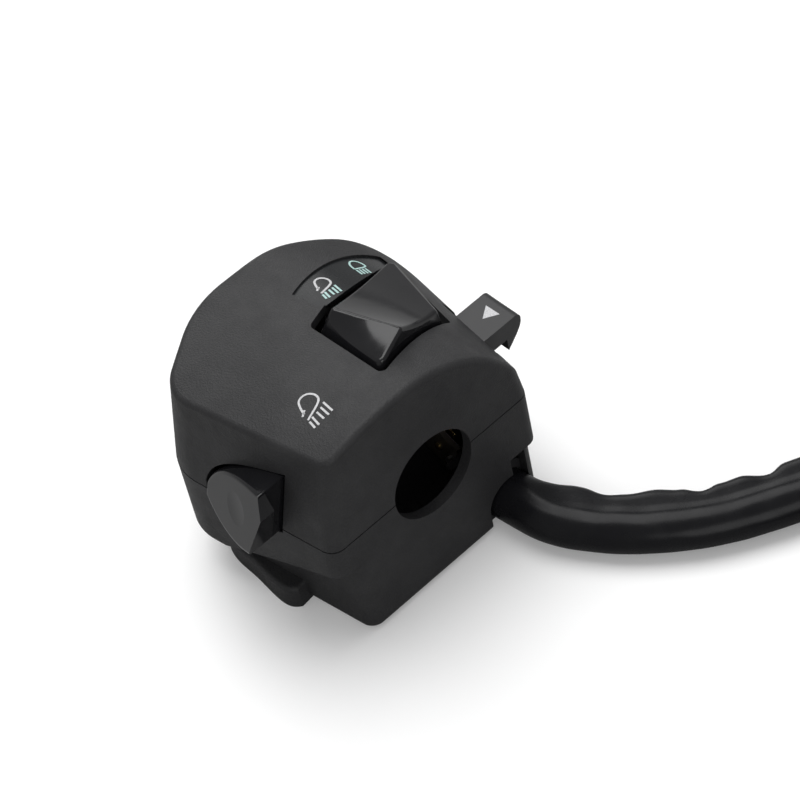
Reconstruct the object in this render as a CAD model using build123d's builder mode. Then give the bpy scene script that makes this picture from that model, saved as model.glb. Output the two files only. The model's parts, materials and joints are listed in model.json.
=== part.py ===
# Left-hand handlebar switch cluster for a 22 mm bar.
# Millimetres. The origin is the centre of the bar bore on the flat end face.
# +X runs along the bore out of that face, +Y points at the rider, +Z is up.
# The two shells part on the plane through the bore's axis, z = 0.
import os
from math import atan2, cos, degrees, pi, radians, sin, sqrt, tan

from build123d import *

os.makedirs("parts", exist_ok=True)

# Fits and general thicknesses
fixed_fit = 0.02
running_fit = 0.06
button_gap = 0.6
rocker_gap = 0.9
wall = 2.4
end_wall = 2.6
overrun = 4.0
plate_thickness = 1.4
detail_edge = 0.5

# Bar and housing sizes
bar_diameter = 22.2
floor_depth = 32.4
face_front = 29.1
face_rear = 28.8
hip_front = 34.3
hip_rear = 34.4
nose_reach = 60.6
draft_angle = 8.5

# Corners of the plan where the straight walls would meet, and the arcs that round them
front_cheek_corner = (-46.6, -35.8)
front_nose_corner = (-60.6, -14.0)
rear_nose_corner = (-60.0, 10.0)
rear_cheek_corner = (-49.8, 36.56)
front_cheek_radius = 13.0
nose_radius = 30.0
rear_cheek_radius = 17.0
front_face_radius = 3.6
rear_face_radius = 3.0

# Crown of the upper shell: crest, front run and rear run at the flat end and at the nose
crown_face_height = 29.8
crown_face_crest = -5.0
crown_face_fall = 11.6
crown_nose_height = 25.6
crown_nose_crest = 2.0
crown_nose_fall = 4.6
crown_front_reach = 42.0
crown_face_rear = 29.2
crown_face_rear_drop = 34.2
crown_nose_rear = 42.0
crown_nose_rear_drop = 39.6
top_edge_radius = 1.6
seam_depth = 0.4
seam_height = 0.35

# Lower shell: the band under the parting plane and the narrower block below it
rear_band_depth = 15.2
band_face_depth = 7.0
band_middle_depth = 13.0
band_middle_reach = 16.0
band_full_depth = 20.0
band_full_reach = 35.0
block_front_inset = 4.8
block_rear_inset = 2.0
block_nose_inset = 6.0
block_edge_radius = 2.4
rail_height = 6.4
rail_edge_radius = 1.0

# Inner ribs and the screws that close the two shells round the bar
rib_thickness = 2.0
inner_rib_reach = 48.0
boss_radius = 4.3
boss_floor = 14.0
screw_head_radius = 3.5
screw_head_height = 2.6
screw_shank_radius = 2.0
screw_shank_length = 24.0
screw_room = 0.25
insert_radius = 2.8
insert_length = 9.0
front_screw_x = -7.4
front_screw_y = -20.2
nose_screw_x = -46.0
nose_screw_y = -19.6
rear_screw_x = -45.0
rear_screw_y = 21.4

# Dimmer rocker: its working plane, base corners, ridge and travel
rocker_x = -8.5
rocker_y = -1.4
rocker_z = 28.2
rocker_tilt = 21.2
rocker_bank = 7.6
rocker_skew = 18.5
rocker_front_left = (-19.8, 7.5)
rocker_rear_left = (-19.7, 41.4)
rocker_rear_right = (1.1, 27.1)
rocker_top_front_right = (0.0, 1.0)
rocker_top_front_left = (-16.0, 8.0)
rocker_top_rear_left = (-18.0, 38.0)
rocker_top_rear_right = (1.2, 20.5)
rocker_skirt = 2.4
rocker_loft_height = 8.4
rocker_corner = 1.4
rocker_edge_radius = 0.9
rocker_proud_line = 2.2
ridge_place = 8.4
ridge_height = 7.0
front_edge_height = 1.8
rear_edge_height = 4.6
rear_edge_right = 21.9
rear_edge_left = 41.5
dish_depth = 0.9
profile_right = 3.0
profile_left = -21.0
hinge_place = 18.5
hinge_drop = 3.6
hub_radius = 2.7
hub_left = -17.0
hub_right = -1.6
web_half = 1.5
pocket_height = 2.6
pocket_front_right = (-2.2, 10.4)
pocket_front_left = (-16.4, 11.4)
pocket_rear_left = (-16.8, 34.0)
pocket_rear_right = (-1.2, 22.0)
pin_radius = 1.25
lug_right_near = 2.4
lug_right_far = 4.8
lug_left_near = -21.6
lug_left_far = -24.4
lug_half = 3.2
lug_reach = 7.0
lug_top = 8.0
rocker_travel = 8.0
dimmer_plate_front = 9.2
dimmer_plate_rear = 27.0
contact_distance = 6.5
contact_place = -9.2
contact_radius = 1.3
contact_gap = 0.05
rivet_head_radius = 1.8
rivet_head_height = 1.1
rivet_shank_radius = 0.9
small_screw_radius = 0.8
small_head_radius = 1.7
small_head_height = 1.2
small_screw_bite = 2.2

# Icon window let into the crown beside the rocker
window_front_left = (-40.6, 2.2)
window_left = (-43.7, 14.0)
window_rear_left = (-43.4, 28.2)
window_rear_right = (-40.8, 28.2)
window_right = (-34.7, 14.6)
window_front_right = (-32.6, 3.4)
window_recess = 0.5
window_thickness = 1.0

# Turn switch: tray, sliding carrier and push-to-cancel lever
turn_x = -16.0
turn_travel = 4.0
cancel_travel = 1.8
tray_left = -37.0
tray_right = -4.6
tray_front = 12.6
tray_rear = 25.8
tray_floor = 1.4
rail_thickness = 1.5
rail_top = 4.6
carrier_half = 8.5
carrier_top = 8.8
channel_low = 4.6
channel_high = 7.6
channel_front = 18.2
tongue_half = 5.0
tongue_front = 20.2
pad_low = 5.0
pad_top = 10.0
pad_inner = 27.2
pad_outer = 38.6
pad_heel = 33.9
pad_tip_height = 1.6
pad_nose_radius = 1.6
slot_room = 0.7
slot_front = 24.9
ball_radius = 1.04
ball_offset = 6.8
ball_y = 22.4
detent_depth = 0.35
detent_coil_radius = 0.74
detent_wire_radius = 0.2
lever_coil_radius = 1.1
lever_wire_radius = 0.2
cancel_spring_turns = 3
turn_contact_depth = 0.5
turn_contact_front = 15.4
turn_contact_rear = 18.8
turn_contact_half = 2.9
turn_contact_space = 0.6
turn_contact_length = 7.4
wiper_half = 1.5
wiper_height = 1.2
tray_screw_x = -33.0
tray_screw_front = 16.4
tray_screw_rear = 22.6
tray_bracket_depth = 7.0

# Passing trigger in the front wall
trigger_left = -34.6
trigger_right_top = -12.4
trigger_right_low = -14.8
trigger_top = 17.0
trigger_tip_height = -0.4
trigger_left_top = 2.8
trigger_left_low = -0.8
trigger_shoulder = (-31.8, 7.4)
trigger_brow = (-25.7, 12.2)
trigger_belly = (-25.3, -2.7)
trigger_outer = 43.0
trigger_inner = 26.0
trigger_face_top = (-12.5, -35.2, 17.4)
trigger_face_tip = (-15.0, -40.5, 0.0)
trigger_face_left = (-34.5, -34.3, 2.5)
trigger_face_middle = (-21.5, -37.1, 6.9)
trigger_dish_radius = 70.0
trigger_dish_depth = 0.8
trigger_outer_line = 32.5
trigger_round_side = -23.0
trigger_edge_radius = 1.0
ridge_side = -10.6
ridge_side_height = 12.0
ridge_inner = 33.6
trigger_pin_x = -31.3
trigger_pin_y = -27.6
trigger_hub_radius = 2.7
trigger_hub_low = -1.9
trigger_hub_top = 7.2
trigger_lug_low = -6.0
trigger_lug_gap = -3.5
trigger_lug_bottom = 9.4
trigger_lug_top = 12.0
trigger_lug_half = 3.1
trigger_coil_radius = 1.9
trigger_wire_radius = 0.35
striker_x = -16.5
striker_z = 6.0
striker_radius = 1.3
striker_reach = 21.9
pass_plate_left = -27.4
pass_plate_right = -11.6
pass_plate_low = -9.0
pass_plate_top = 8.4
pass_plate_face = 17.45
leaf_face = 19.6
leaf_thickness = 0.4
leaf_left = -25.6
leaf_foot = -22.6
leaf_right = -13.6
leaf_half_height = 1.6
pass_rivet_length = 1.0
rib_front = 24.6
rib_back = 13.4

# Horn button in the rear wall
horn_x = -22.4
horn_floor_room = 9.8
horn_z = horn_floor_room - floor_depth
horn_half_width = 6.6
horn_half_height = 5.2
horn_corner = 2.6
horn_rise = 1.8
horn_travel = 1.4
horn_flange_room = 1.0
horn_flange = 1.2
horn_flange_back = 2.7
horn_stem_radius = 2.4
horn_stem_reach = 9.0
horn_plate_face = 11.6
horn_plate_half_width = 12.0
horn_plate_half_height = 5.6
horn_post_place = 9.9
horn_post_radius = 2.2
horn_rivet_place = 4.0
horn_contact_half = 5.6
horn_contact_half_height = 2.3
horn_contact_thickness = 0.6
horn_coil_radius = 1.1
horn_wire_radius = 0.22
horn_spring_turns = 5

# Cable, its exit in the flat end, and the harness plug
cable_radius = 6.0
cable_y = 18.8
cable_exit_z = cable_radius - floor_depth
cable_start_x = -7.2
exit_room = 0.4
exit_top = 15.2
exit_inner_y = 20.4
exit_outer_y = 24.6
grommet_back = 8.2
grommet_top = 19.2
grommet_corner = 3.0
stretch_points = (
    (4.6, 18.8, cable_exit_z),
    (17.6, 22.2, cable_exit_z),
    (30.4, 30.6, cable_exit_z),
    (41.8, 43.4, cable_exit_z),
    (50.2, 61.6, cable_exit_z),
    (58.0, 88.0, cable_exit_z),
)
coil_arcs = ((60.0, 190.0), (50.0, 30.0), (38.0, 110.0))
coil_tail = 8.0
gap_steps = 120
boot_length = 13.0
boot_corner = 4.6
boot_half_width = 6.8
plug_length = 27.0
plug_half_width = 9.5
plug_half_height = 6.0
plug_corner = 1.4
plug_wall = 1.3
plug_mouth = 9.0
latch_length = 15.0
latch_half_width = 3.2
latch_height = 1.6
terminal_radius = 0.9
terminal_length = 7.0
terminal_pitch = 5.2

pad_half = 5.0
screw_row = 20.4
rail_outer = (
    (-44.2, -28.2),
    (-40.1, -30.1),
    (-31.9, -30.8),
    (-23.3, -31.6),
    (-20.0, -31.2),
    (-17.9, -29.4),
)
rail_inner_right = (-18.4, -24.6)
rail_inner_left = (-44.0, -24.0)
rib_drop = 3.4
tray_bracket_half = 3.2
tray_screw_bite = 5.0
exit_half = cable_radius + exit_room

contact_socket = 5.0
plate_half = 4.4
rivet_tail = 0.5
spring_bore = 3.0
pad_curl = (37.2, 5.0)

leaf_screw_x = -24.1
horn_rivet_height = 0.5
horn_rivet_radius = 1.5
drive_length = 4.4
drive_width = 0.9
drive_depth = 1.4
bend_share = 0.45
quarter_turn = 90.0
terminal_row = 4.0
terminal_root = 4.0
terminal_tip = 0.3

bar_radius = bar_diameter / 2


def wall_corner(first, second):
    """Point where two straight walls meet; each is a point and a direction."""
    (ax, ay), (ux, uy) = first
    (bx, by), (vx, vy) = second
    along = ((bx - ax) * vy - (by - ay) * vx) / (ux * vy - uy * vx)
    return (ax + along * ux, ay + along * uy)


def moved_wall(start, end, inset):
    """Straight wall from one corner to the next, moved into the housing by its inset."""
    ux, uy = end[0] - start[0], end[1] - start[1]
    length = sqrt(ux**2 + uy**2)
    return ((start[0] - inset * uy / length, start[1] + inset * ux / length), (ux, uy))


def plan_outline(front, rear, nose, end, rounding):
    """Outline of the housing seen from above, each wall drawn in by its own inset."""
    corners = (
        (0, face_rear), rear_cheek_corner, rear_nose_corner,
        front_nose_corner, front_cheek_corner, (0, -face_front),
    )
    insets = (rear, nose, nose, nose, front)
    walls = [moved_wall(corners[k], corners[k + 1], insets[k]) for k in range(len(insets))]
    end_wall_line = ((end, 0), (0, 1))
    points = [wall_corner(end_wall_line, walls[0])]
    points += [wall_corner(walls[k], walls[k + 1]) for k in range(len(walls) - 1)]
    points += [wall_corner(walls[-1], end_wall_line)]
    radii = (
        rear_face_radius, rear_cheek_radius - nose, nose_radius - nose,
        nose_radius - nose, front_cheek_radius - nose, front_face_radius,
    )
    with BuildSketch() as outline:
        with BuildLine():
            Polyline(*points, close=True)
        make_face()
        for point, radius in zip(points[1:-1], radii[1:-1]):
            fillet(outline.vertices().sort_by_distance((point[0], point[1], 0))[0], radius)
        if rounding:
            for point, radius in ((points[0], radii[0]), (points[-1], radii[-1])):
                fillet(outline.vertices().sort_by_distance((point[0], point[1], 0))[0], radius)
    return outline.sketch


def crown_section(station, height, crest, fall, rear, rear_drop, skin):
    """Section across the crown at one station along the bar, lowered by the skin's thickness."""
    top = height - skin
    side = rear - skin
    with BuildSketch(Plane.YZ.offset(station)) as section:
        with BuildLine():
            TangentArc((crest, top), (-crown_front_reach, top - fall), tangent=(-1, 0))
            TangentArc((crest, top), (side, top - rear_drop), tangent=(1, 0))
            Polyline(
                (side, top - rear_drop),
                (side, -floor_depth),
                (-crown_front_reach, -floor_depth),
                (-crown_front_reach, top - fall),
            )
        make_face()
    return section.sketch


def crown_form(skin):
    """Everything under the crown surface, lowered by the skin's thickness."""
    with BuildPart() as form:
        add(
            crown_section(
                overrun, crown_face_height, crown_face_crest, crown_face_fall,
                crown_face_rear, crown_face_rear_drop, skin,
            )
        )
        add(
            crown_section(
                -nose_reach - overrun, crown_nose_height, crown_nose_crest, crown_nose_fall,
                crown_nose_rear, crown_nose_rear_drop, skin,
            )
        )
        loft(ruled=True)
    return form.part


def upper_form(inset, skin, face_back):
    """Upper half of the housing: drafted walls cut off by the crown and the flat end."""
    with BuildPart() as form:
        with BuildSketch():
            add(plan_outline(inset, inset, inset, nose_reach, False))
        extrude(amount=crown_face_height + overrun, taper=draft_angle)
        if inset:
            extrude(form.faces().sort_by(Axis.Z)[0], amount=overrun)
        with BuildSketch(Plane.YZ.offset(-face_back)):
            Rectangle(2 * nose_reach, 2 * nose_reach)
        extrude(amount=3 * nose_reach, mode=Mode.SUBTRACT)
        if not inset:
            upright = form.edges().filter_by_position(Axis.X, -fixed_fit, fixed_fit)
            upright = upright.filter_by(lambda edge: abs(edge.tangent_at(0).Z) > detail_edge)
            fillet(upright.sort_by(Axis.Y)[0], front_face_radius)
            upright = form.edges().filter_by_position(Axis.X, -fixed_fit, fixed_fit)
            upright = upright.filter_by(lambda edge: abs(edge.tangent_at(0).Z) > detail_edge)
            fillet(upright.sort_by(Axis.Y)[-1], rear_face_radius)
        add(crown_form(skin), mode=Mode.INTERSECT)
        if not inset:
            rim = form.edges().filter_by_position(Axis.Y, -hip_front, -face_front / 2)
            rim = rim.filter_by_position(Axis.Z, crown_nose_height / 2, crown_face_height)
            fillet(rim.sort_by(SortBy.LENGTH)[-1], top_edge_radius)
    return form.part


def lower_form(inset, skin, face_back):
    """Lower half of the housing: a full-width band over a block drawn in at the front."""
    with BuildPart() as form:
        with BuildSketch(Plane.XY.offset(inset)):
            add(plan_outline(inset, inset, inset, -face_back, not inset))
        extrude(amount=-band_full_depth + skin - inset)
        with BuildSketch(Plane.XZ):
            with BuildLine():
                Spline(
                    (overrun, -band_face_depth + skin),
                    (-band_middle_reach, -band_middle_depth + skin),
                    (-band_full_reach, -band_full_depth + skin),
                )
                Polyline(
                    (-band_full_reach, -band_full_depth + skin),
                    (-band_full_reach, -floor_depth),
                    (overrun, -floor_depth),
                    (overrun, -band_face_depth + skin),
                )
            make_face()
        extrude(amount=crown_front_reach, mode=Mode.SUBTRACT)
        with BuildSketch(Plane.XZ):
            with BuildLine():
                Polyline(
                    (overrun, -rear_band_depth + skin),
                    (-nose_reach - overrun, -rear_band_depth + skin),
                    (-nose_reach - overrun, -floor_depth),
                    (overrun, -floor_depth),
                    close=True,
                )
            make_face()
        extrude(amount=-crown_front_reach, mode=Mode.SUBTRACT)
        with BuildSketch():
            add(
                plan_outline(
                    block_front_inset + inset, block_rear_inset + inset,
                    block_nose_inset + inset, -face_back, not inset,
                )
            )
        extrude(amount=-floor_depth + skin)
    return form.part


def prism(points, plane, depth):
    """Straight prism over a polygon drawn on a plane, reaching back by the depth."""
    with BuildPart() as form:
        with BuildSketch(plane):
            with BuildLine():
                Polyline(*points, close=True)
            make_face()
        extrude(amount=-depth)
    return form.part


def block(plane, x_low, x_high, y_low, y_high, depth):
    """Rectangular block between two pairs of limits on a plane, reaching back by the depth."""
    corners = ((x_low, y_low), (x_high, y_low), (x_high, y_high), (x_low, y_high))
    return prism(corners, plane, depth)


def rod(plane, x, y, radius, depth):
    """Round rod standing on a plane at one place, reaching back by the depth."""
    with BuildPart() as form:
        with BuildSketch(plane):
            with Locations((x, y)):
                Circle(radius)
        extrude(amount=-depth)
    return form.part


def coil_spring(plane, coil_radius, wire_radius, length, turns):
    """Open coil spring of round wire, standing on a plane."""
    with BuildPart() as form:
        with BuildLine() as path:
            Helix(length / turns, length, coil_radius)
        with BuildSketch(Plane(origin=path.wire() @ 0, z_dir=path.wire() % 0)):
            Circle(wire_radius)
        sweep(is_frenet=True)
    return form.part.moved(plane.location)


def keep(builder, label):
    """Name a finished piece and write its file."""
    builder.part.label = label
    export_step(builder.part, f"parts/{label}.step")
    box = builder.part.bounding_box()
    print(label, round(builder.part.volume), box.min, box.max, builder.part.is_valid)


# Working planes of the tilted mechanisms
tilt = radians(rocker_tilt)
bank = radians(rocker_bank)
skew = radians(rocker_skew)
rocker_up = Vector(-sin(bank), cos(bank) * sin(tilt), cos(bank) * cos(tilt))
rocker_across = Vector(cos(bank), sin(bank) * sin(tilt), sin(bank) * cos(tilt))
rocker_back = rocker_up.cross(rocker_across)
hinge_way = rocker_across * cos(skew) + rocker_back * sin(skew)
rocker_plane = Plane(origin=(rocker_x, rocker_y, rocker_z), x_dir=hinge_way, z_dir=rocker_up)
rocker_side = Plane(
    origin=rocker_plane.origin, x_dir=rocker_plane.y_dir, z_dir=rocker_plane.x_dir
)
wall_turn = (rear_cheek_corner[1] - face_rear) / -rear_cheek_corner[0]
horn_wall = face_rear - block_rear_inset * sqrt(1 + wall_turn**2) - horn_x * wall_turn
horn_plane = Plane(
    origin=(horn_x, horn_wall, horn_z), x_dir=(-1, wall_turn, 0), z_dir=(wall_turn, 1, 0)
)
face_normal = (Vector(*trigger_face_tip) - Vector(*trigger_face_top)).cross(
    Vector(*trigger_face_left) - Vector(*trigger_face_top)
).normalized()
face_plane = Plane(origin=trigger_face_top, z_dir=-face_normal)


def rocker_outline(gap):
    """Plan of the rocker's foot on its working plane, with a gap all round."""
    with BuildSketch() as outline:
        with BuildLine():
            Polyline(
                (gap, -gap),
                (rocker_front_left[0] - gap, rocker_front_left[1] - gap),
                (rocker_rear_left[0] - gap, rocker_rear_left[1] + gap),
                (rocker_rear_right[0] + gap, rocker_rear_right[1] + gap),
                close=True,
            )
        make_face()
        fillet(outline.vertices(), rocker_corner)
    return outline.sketch


def rocker_profile(station, front, rear):
    """Side view of the rocker at one place along its hinge."""
    middle = (ridge_place + rear) / 2
    low = (ridge_height + rear_edge_height) / 2 - dish_depth
    reach = rear + hinge_place / 2
    with BuildSketch(rocker_side.offset(station)) as profile:
        with BuildLine():
            Polyline((front - ridge_place, -ridge_height), (front - ridge_place, front_edge_height),
                     (front, front_edge_height), (ridge_place, ridge_height))
            ThreePointArc((ridge_place, ridge_height), (middle, low), (rear, rear_edge_height))
            Polyline((rear, rear_edge_height), (reach, 0), (reach, -ridge_height),
                     (front - ridge_place, -ridge_height))
        make_face()
    return profile.sketch


def trigger_outline(gap):
    """Front view of the trigger with a gap all round."""
    with BuildSketch(Plane.XZ) as outline:
        with BuildLine():
            Spline(
                (trigger_left - gap, trigger_left_top),
                (trigger_shoulder[0] - gap, trigger_shoulder[1] + gap),
                (trigger_brow[0], trigger_brow[1] + gap),
                (trigger_right_top + gap, trigger_top + gap),
            )
            Polyline(
                (trigger_right_top + gap, trigger_top + gap),
                (trigger_right_low + gap, trigger_tip_height - gap),
            )
            Spline(
                (trigger_right_low + gap, trigger_tip_height - gap),
                (trigger_belly[0], trigger_belly[1] - gap),
                (trigger_left - gap, trigger_left_low - gap),
            )
            Line(
                (trigger_left - gap, trigger_left_low - gap), (trigger_left - gap, trigger_left_top)
            )
        make_face()
    return outline.sketch


def window_outline(gap):
    """Plan of the icon window with a gap all round."""
    with BuildSketch() as outline:
        with BuildLine():
            Spline(
                (window_front_left[0] - gap, window_front_left[1] - gap),
                (window_left[0] - gap, window_left[1]),
                (window_rear_left[0] - gap, window_rear_left[1] + gap),
            )
            Line(
                (window_rear_left[0] - gap, window_rear_left[1] + gap),
                (window_rear_right[0] + gap, window_rear_right[1] + gap),
            )
            Spline(
                (window_rear_right[0] + gap, window_rear_right[1] + gap),
                (window_right[0] + gap, window_right[1]),
                (window_front_right[0] + gap, window_front_right[1] - gap),
            )
            Line(
                (window_front_right[0] + gap, window_front_right[1] - gap),
                (window_front_left[0] - gap, window_front_left[1] - gap),
            )
        make_face()
    return outline.sketch


def screw_places():
    """Plan positions of the three screws that pull the shells together."""
    return (
        (front_screw_x, front_screw_y),
        (nose_screw_x, nose_screw_y),
        (rear_screw_x, rear_screw_y),
    )


def cap_sketch(half_width, half_height, corner):
    """Rounded rectangle for the horn button and its opening."""
    with BuildSketch() as outline:
        RectangleRounded(2 * half_width, 2 * half_height, corner)
    return outline.sketch


# Bodies cut out of both shells
with BuildPart() as bar:
    with BuildSketch(Plane(origin=(overrun, 0, 0), x_dir=(0, 1, 1), z_dir=(1, 0, 0))):
        Circle(bar_radius)
    extrude(amount=-nose_reach - 2 * overrun)

with BuildPart() as trigger_opening:
    with BuildSketch(Plane.XZ):
        add(trigger_outline(button_gap))
    extrude(amount=trigger_outer)
    with BuildSketch(Plane.XZ):
        Rectangle(2 * nose_reach, 2 * nose_reach)
    extrude(amount=trigger_inner - overrun, mode=Mode.SUBTRACT)

with BuildPart() as rocker_opening:
    with BuildSketch(rocker_plane.offset(-lug_reach)):
        add(rocker_outline(rocker_gap))
    extrude(amount=3 * lug_reach)

# Ribs, bosses and lugs inside the upper shell, kept within its skin
with BuildPart() as upper_ribs:
    add(block(Plane.XY.offset(nose_reach), -inner_rib_reach - rib_thickness, -inner_rib_reach,
              -hip_front, hip_rear, nose_reach))
    for place in screw_places():
        add(rod(Plane.XY.offset(nose_reach), place[0], place[1], boss_radius, nose_reach))
    add(block(rocker_plane.offset(lug_top), lug_right_near, lug_right_far,
              hinge_place - lug_half, hinge_place + lug_half, lug_top + lug_reach))
    add(block(rocker_plane.offset(lug_top), lug_left_far, lug_left_near,
              hinge_place - lug_half, hinge_place + lug_half, lug_top + lug_reach))
    add(block(Plane.XY.offset(trigger_lug_top), trigger_pin_x - trigger_lug_half,
              trigger_pin_x + trigger_lug_half, -hip_front, trigger_pin_y + trigger_lug_half,
              trigger_lug_top - trigger_lug_bottom))
    add(upper_form(wall / 2, wall / 2, end_wall / 2), mode=Mode.INTERSECT)

# Seat of the icon window, cut into the crown
with BuildPart() as window_seat:
    with BuildSketch():
        add(window_outline(fixed_fit))
    extrude(amount=nose_reach)
    add(crown_form(window_recess + window_thickness), mode=Mode.SUBTRACT)

# Shadow line round the foot of the upper shell
with BuildPart() as seam:
    with BuildSketch():
        Rectangle(3 * nose_reach, 3 * nose_reach)
        add(plan_outline(seam_depth, seam_depth, seam_depth, -seam_depth, True), mode=Mode.SUBTRACT)
    extrude(amount=seam_height)

# Upper shell
with BuildPart() as upper_shell:
    add(upper_form(0, 0, 0))
    add(upper_form(wall, wall, end_wall), mode=Mode.SUBTRACT)
    add(upper_ribs.part)
    add(seam.part, mode=Mode.SUBTRACT)
    add(bar.part, mode=Mode.SUBTRACT)
    add(rocker_opening.part, mode=Mode.SUBTRACT)
    add(trigger_opening.part, mode=Mode.SUBTRACT)
    add(window_seat.part, mode=Mode.SUBTRACT)
    slot_half = pad_half + turn_travel + slot_room
    add(block(Plane.XY.offset(pad_top + slot_room), turn_x - slot_half, turn_x + slot_half,
              slot_front, pad_outer, pad_top - pad_low + 2 * slot_room), mode=Mode.SUBTRACT)
    for place in screw_places():
        add(rod(Plane.XY.offset(insert_length + rib_thickness), place[0], place[1],
                insert_radius + fixed_fit, insert_length + rib_thickness), mode=Mode.SUBTRACT)
    pin_right = lug_right_far + fixed_fit
    pin_length = lug_right_far - lug_left_far + 2 * fixed_fit
    add(rod(rocker_side.offset(pin_right), hinge_place, -hinge_drop,
            pin_radius + fixed_fit, pin_length), mode=Mode.SUBTRACT)
    for side in (lug_right_near + lug_right_far, lug_left_near + lug_left_far):
        add(rod(rocker_plane.offset(small_screw_bite - lug_reach), side / 2, screw_row,
                small_screw_radius + fixed_fit, small_screw_bite), mode=Mode.SUBTRACT)
    add(rod(Plane.XY.offset(trigger_lug_top), trigger_pin_x, trigger_pin_y,
            pin_radius + fixed_fit, trigger_lug_top - trigger_lug_bottom), mode=Mode.SUBTRACT)
keep(upper_shell, "upper_shell")

# Foot rail under the front wall
with BuildPart() as foot_rail:
    with BuildSketch(Plane.XY.offset(-floor_depth)):
        with BuildLine():
            Spline(*rail_outer)
            Polyline(rail_outer[-1], rail_inner_right, rail_inner_left, rail_outer[0])
        make_face()
    extrude(amount=rail_height)
    fillet(foot_rail.faces().sort_by(Axis.Z)[-1].edges(), rail_edge_radius)

# Ribs, bosses and brackets inside the lower shell, kept within its skin
with BuildPart() as lower_ribs:
    add(block(Plane.XY, -inner_rib_reach - rib_thickness, -inner_rib_reach,
              -hip_front, hip_rear, floor_depth))
    for place in screw_places():
        add(rod(Plane.XY, place[0], place[1], boss_radius, floor_depth))
    for rib in (pass_plate_left, pass_plate_right):
        add(block(Plane.XY.offset(-rib_drop), rib - rib_thickness / 2, rib + rib_thickness / 2,
                  -rib_front, -rib_back, floor_depth))
    add(block(Plane.XY, tray_left + rib_thickness / 2, tray_screw_x + tray_bracket_half,
              tray_front + rib_thickness, hip_rear, tray_bracket_depth))
    add(block(Plane.XY, turn_x + rib_thickness, tray_right - rib_thickness / 2,
              slot_front - rib_thickness, hip_rear, tray_bracket_depth))
    add(block(Plane.XY.offset(trigger_lug_gap), trigger_pin_x - trigger_lug_half,
              trigger_pin_x + trigger_lug_half, -hip_front, trigger_pin_y + trigger_lug_half,
              trigger_lug_gap - trigger_lug_low))
    for side in (-horn_post_place, horn_post_place):
        add(rod(horn_plane, side, 0, horn_post_radius, horn_plate_face))
    add(block(Plane.XY.offset(-exit_top), -grommet_back - fixed_fit - rib_thickness,
              -grommet_back - fixed_fit, cable_y - exit_half - rib_thickness,
              cable_y + exit_half + overrun, floor_depth))
    add(lower_form(wall / 2, wall / 2, end_wall / 2), mode=Mode.INTERSECT)
    add(bar.part, mode=Mode.SUBTRACT)

# Lower shell
with BuildPart() as lower_shell:
    add(lower_form(0, 0, 0))
    fillet(lower_shell.edges().group_by(Axis.Z)[0], block_edge_radius)
    add(lower_form(wall, wall, end_wall), mode=Mode.SUBTRACT)
    add(bar.part, mode=Mode.SUBTRACT)
    add(foot_rail.part)
    add(lower_ribs.part)
    add(trigger_opening.part, mode=Mode.SUBTRACT)
    for place in screw_places():
        add(rod(Plane.XY, place[0], place[1], screw_shank_radius + screw_room,
                floor_depth), mode=Mode.SUBTRACT)
        add(rod(Plane.XY.offset(-boss_floor), place[0], place[1],
                screw_head_radius + screw_room, floor_depth), mode=Mode.SUBTRACT)
    with BuildSketch(horn_plane.offset(overrun)):
        add(cap_sketch(horn_half_width + button_gap, horn_half_height + button_gap, horn_corner))
    extrude(amount=-2 * overrun, mode=Mode.SUBTRACT)
    for side in (-horn_post_place, horn_post_place):
        add(rod(horn_plane.offset(small_screw_bite - horn_plate_face), side, 0,
                small_screw_radius + fixed_fit, small_screw_bite), mode=Mode.SUBTRACT)
    for side in (tray_screw_front, tray_screw_rear):
        add(rod(Plane.XY, tray_screw_x, side, small_screw_radius + fixed_fit,
                tray_screw_bite), mode=Mode.SUBTRACT)
    add(rod(Plane.XY.offset(trigger_lug_gap), trigger_pin_x, trigger_pin_y,
            pin_radius + fixed_fit, trigger_lug_gap - trigger_lug_low), mode=Mode.SUBTRACT)
    groove_low = pass_plate_left - fixed_fit
    add(block(Plane.XY, groove_low, pass_plate_right + fixed_fit,
              -pass_plate_face - fixed_fit, -pass_plate_face + plate_thickness + fixed_fit,
              fixed_fit - pass_plate_low), mode=Mode.SUBTRACT)
    with BuildSketch(Plane.YZ.offset(overrun)):
        with Locations((cable_y, cable_exit_z)):
            Circle(exit_half)
        with Locations((cable_y, cable_exit_z - exit_half)):
            Rectangle(2 * exit_half, 2 * exit_half)
        with Locations(((exit_inner_y + exit_outer_y) / 2, (cable_exit_z - exit_top) / 2)):
            Rectangle(exit_outer_y - exit_inner_y, -cable_exit_z - exit_top)
    extrude(amount=-overrun - end_wall - fixed_fit, mode=Mode.SUBTRACT)
    add(block(Plane.XY.offset(-floor_depth + wall + fixed_fit), -grommet_back - fixed_fit, 0,
              cable_y - exit_half, cable_y + exit_half, 2 * wall), mode=Mode.SUBTRACT)
    add(block(Plane.XY.offset(-grommet_top + fixed_fit), -grommet_back - fixed_fit,
              -end_wall - fixed_fit, cable_y - exit_half, cable_y + exit_half,
              floor_depth), mode=Mode.SUBTRACT)
keep(lower_shell, "lower_shell")

# Icon window
with BuildPart() as icon_window:
    with BuildSketch():
        add(window_outline(0))
    extrude(amount=nose_reach)
    add(crown_form(window_recess + window_thickness), mode=Mode.SUBTRACT)
    add(crown_form(window_recess), mode=Mode.INTERSECT)
keep(icon_window, "icon_window")

# Dimmer rocker: cap with a hollow underside, hub and two contact pegs
with BuildPart() as rocker_solid:
    with BuildSketch(rocker_plane.offset(-rocker_skirt)):
        add(rocker_outline(0))
    with BuildSketch(rocker_plane.offset(rocker_loft_height)) as rocker_top:
        with BuildLine():
            Polyline(rocker_top_front_right, rocker_top_front_left, rocker_top_rear_left,
                     rocker_top_rear_right, close=True)
        make_face()
        fillet(rocker_top.vertices(), rocker_corner)
    loft(ruled=True)

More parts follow.
